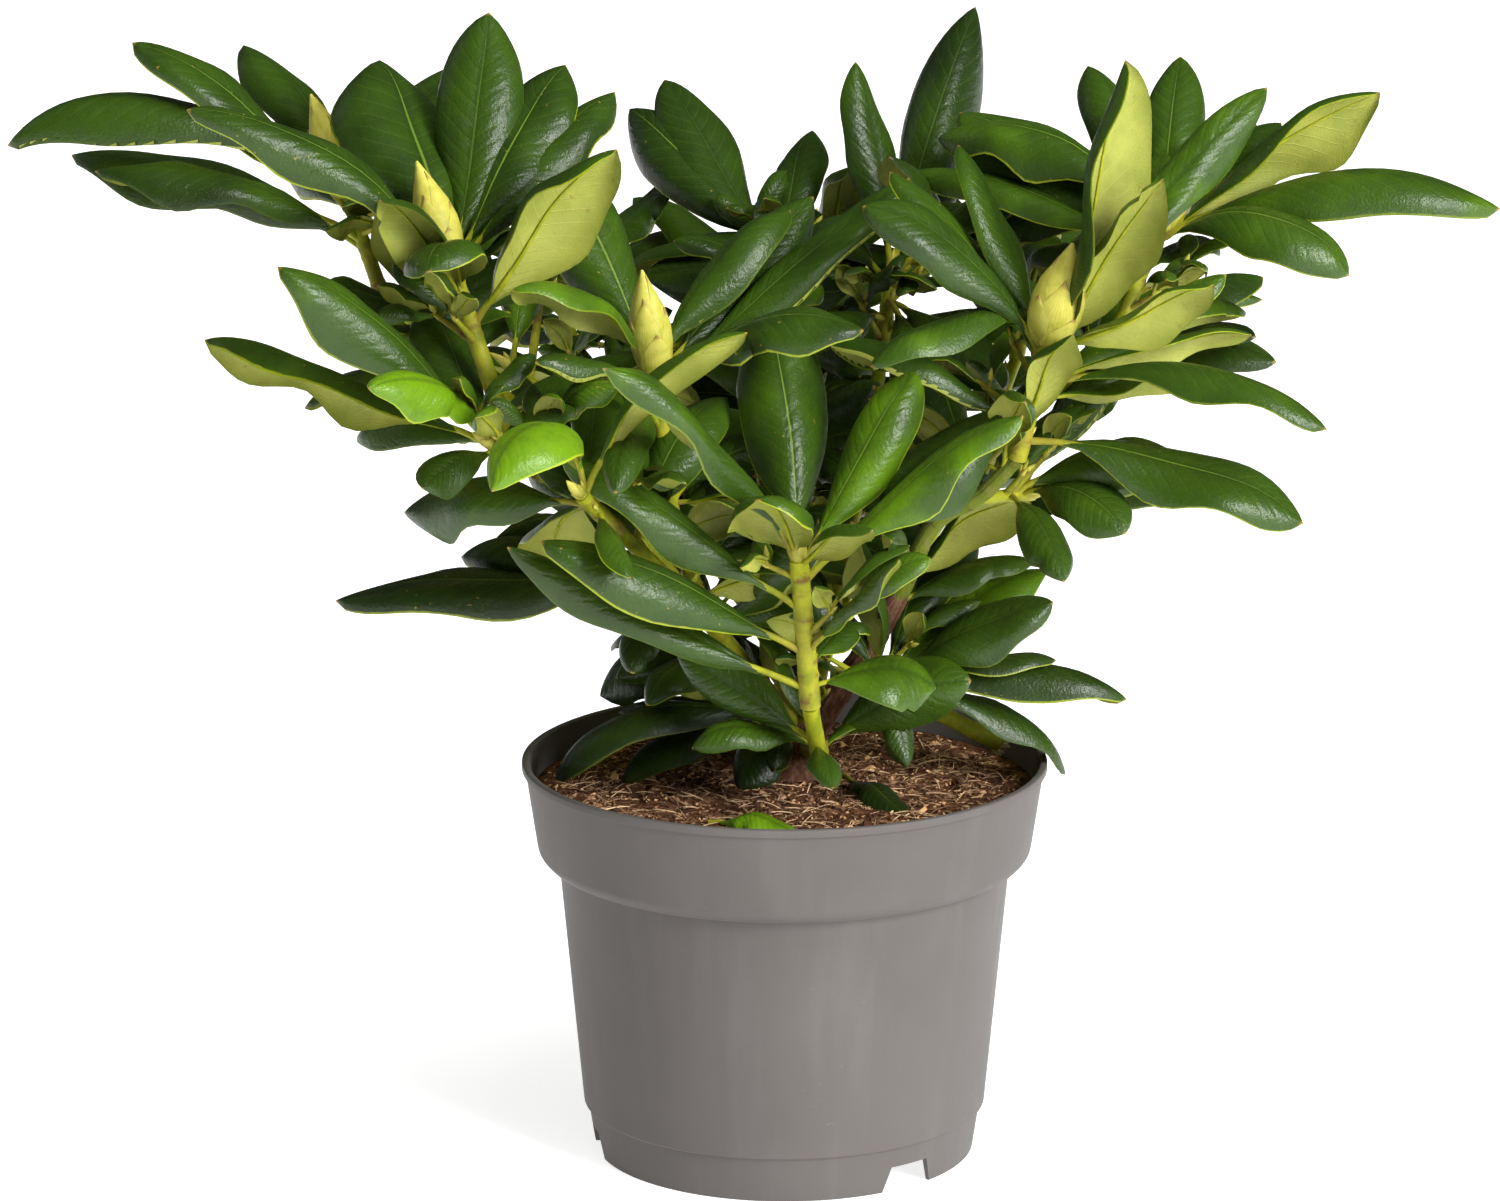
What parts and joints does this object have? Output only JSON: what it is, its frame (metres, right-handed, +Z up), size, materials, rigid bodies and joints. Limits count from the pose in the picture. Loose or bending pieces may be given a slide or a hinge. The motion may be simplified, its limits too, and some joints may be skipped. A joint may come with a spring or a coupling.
{
  "type": "potted rhododendron",
  "caption": "Young evergreen shrub with whorls of long glossy leaves and fat pale buds, standing in its round grey plastic nursery pot of bark soil.",
  "frame": {"origin": "middle of the pot's flat underside", "axes": "+Z up, +X along the widest way through the leaves, -Y towards the front"},
  "size_m": [0.6456, 0.4259, 0.5064],
  "materials": {
    "pot": "matt mid-grey moulded plastic, faintly scuffed",
    "soil": "loose moist bark soil",
    "old_bark": "thin flaking reddish-brown bark",
    "green_bark": "smooth young green bark with leaf scars",
    "foliage": "glossy leathery leaves, paler underneath, on green stems"
  },
  "bodies": {
    "root": {"pot": "pot", "soil": "soil", "trunk": "old_bark", "bough_right": "old_bark", "bough_far_right": "green_bark", "bough_front": "green_bark", "bough_left": "green_bark", "bough_far_left": "green_bark", "bough_outer_left": "green_bark", "bough_middle": "green_bark", "bough_back": "green_bark", "bough_centre": "green_bark", "bough_back_right": "green_bark", "bough_back_left": "green_bark", "bough_rear": "green_bark", "cut_shoot": "green_bark", "fallen_leaf_front": "foliage", "fallen_leaf_right": "foliage", "shoot_outer_left": "foliage", "shoot_far_left": "foliage", "shoot_left": "foliage", "shoot_front_left": "foliage", "shoot_middle": "foliage", "shoot_front": "foliage", "shoot_right": "foliage", "shoot_far_right": "foliage", "shoot_back": "foliage", "shoot_centre": "foliage", "shoot_lower_right": "foliage", "shoot_lower_left": "foliage", "shoot_low_front": "foliage", "shoot_low_left": "foliage", "shoot_low_right": "foliage", "shoot_rear_right": "foliage", "shoot_rear_left": "foliage", "shoot_rear": "foliage", "shoot_side_right": "foliage", "shoot_side_left": "foliage", "shoot_low_rear": "foliage", "shoot_low_rear_right": "foliage", "shoot_low_rear_left": "foliage"}
  },
  "joints": []
}
